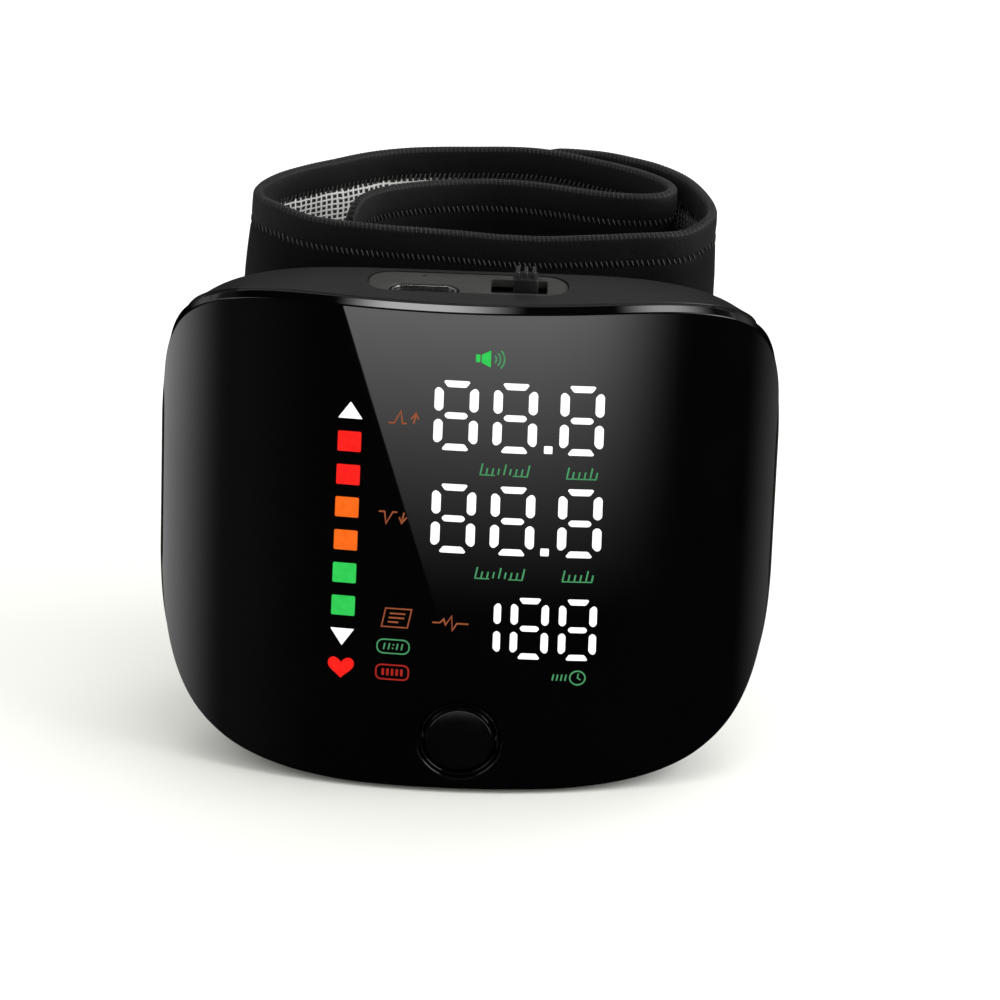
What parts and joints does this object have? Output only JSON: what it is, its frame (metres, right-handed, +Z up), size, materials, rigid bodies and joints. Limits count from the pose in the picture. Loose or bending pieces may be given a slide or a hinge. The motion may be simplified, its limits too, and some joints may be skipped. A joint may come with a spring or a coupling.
{
  "type": "wrist blood pressure monitor",
  "caption": "Wrist blood pressure monitor: curved glossy display front, round start button, charging port and slide switch on the top deck, coiled fabric cuff behind with an opening flap.",
  "frame": {"origin": "centre of the overall box, at the level the monitor stands on", "axes": "+X to the viewer's right when facing the display, -Y out of the display, +Z up"},
  "size_m": [0.09, 0.0582, 0.0798],
  "materials": {
    "gloss_black": "high-gloss smoked plastic",
    "satin_grey": "satin moulded dark grey",
    "inlay_grey": "satin moulded grey",
    "black_plastic": "moulded black",
    "white_plastic": "moulded white",
    "lit_white": "lit diffuser, white",
    "lit_red": "lit diffuser, red",
    "lit_orange": "lit diffuser, orange",
    "lit_green": "lit diffuser, green",
    "lit_amber": "lit diffuser, amber",
    "steel": "plated",
    "brass": "turned",
    "circuit_board": "solder mask",
    "cell_wrap": "foil pouch",
    "rubber": "moulded",
    "hose": "silicone",
    "cuff_fabric": "woven black nylon",
    "stitch_thread": "thread",
    "mesh_lining": "grey spacer mesh",
    "hook_loop": "hook and loop tape"
  },
  "bodies": {
    "casing": {"front_panel": "gloss_black", "main_housing": "satin_grey", "rear_cover": "satin_grey", "housing_screw_1": "steel", "housing_screw_2": "steel", "housing_screw_3": "steel", "housing_screw_4": "steel", "port_inlay": "inlay_grey", "usb_shell": "steel", "usb_tongue": "black_plastic", "slide_switch_body": "black_plastic", "button_ring": "gloss_black", "tact_switch_body": "black_plastic", "digit_light_guide": "lit_white", "bar_light_guide": "lit_green", "icon_light_guide": "lit_amber", "led_reflector": "white_plastic", "display_gasket": "rubber", "main_pcb": "circuit_board", "pcb_screw_1": "steel", "pcb_screw_2": "steel", "mcu_chip": "black_plastic", "pressure_sensor": "white_plastic", "battery_cell": "cell_wrap", "speaker_driver": "black_plastic", "pump_motor": "steel", "pump_head": "white_plastic", "air_manifold": "white_plastic", "pump_tube": "hose", "sensor_tube": "hose", "valve_tube": "hose", "release_valve_body": "steel", "cuff_nozzle": "white_plastic", "nozzle_seal": "rubber", "cuff_mount_plate": "black_plastic", "plate_screw_1": "steel", "plate_screw_2": "steel", "cuff_cover": "cuff_fabric", "cuff_lining": "mesh_lining", "cuff_top_binding": "cuff_fabric", "cuff_bottom_binding": "cuff_fabric", "curl_plate": "white_plastic", "air_bladder": "rubber", "loop_patch": "hook_loop"},
    "start_button": {"start_button": "gloss_black"},
    "tact_plunger": {"tact_plunger": "white_plastic"},
    "switch_knob": {"switch_knob": "black_plastic"},
    "pump_shaft": {"pump_shaft": "steel"},
    "valve_plunger": {"valve_plunger": "brass"},
    "cuff_flap": {"flap_cover": "cuff_fabric", "flap_lining": "mesh_lining", "flap_top_binding": "cuff_fabric", "flap_bottom_binding": "cuff_fabric", "hook_patch": "hook_loop"}
  },
  "joints": [
    {"name": "start_button_press", "type": "slide", "parent": "casing", "child": "start_button", "axis": [0, 1, 0], "range_m": [0, 0.0007], "stiffness_N_per_m": 1000, "springref_m": -0.0004},
    {"name": "tact_plunger_press", "type": "slide", "parent": "casing", "child": "tact_plunger", "axis": [0, 1, 0], "range_m": [0, 0.0007]},
    {"name": "voice_switch_slide", "type": "slide", "parent": "casing", "child": "switch_knob", "axis": [-1, 0, 0], "range_m": [0, 0.002]},
    {"name": "pump_shaft_spin", "type": "hinge", "parent": "casing", "child": "pump_shaft", "pos_m": [0.014, -0.0143, 0.0528], "axis": [0, 0, 1], "continuous": true},
    {"name": "valve_plunger_slide", "type": "slide", "parent": "casing", "child": "valve_plunger", "axis": [1, 0, 0], "range_m": [0, 0.0008], "stiffness_N_per_m": 200, "springref_m": -0.0004},
    {"name": "cuff_flap_open", "type": "hinge", "parent": "casing", "child": "cuff_flap", "pos_m": [0.03429, 0.00375, 0.0399], "axis": [0, 0, -1], "range_deg": [0, 75]}
  ],
  "couplings": [
    {"joint": "tact_plunger_press", "follows": "start_button_press", "ratio": 1}
  ]
}
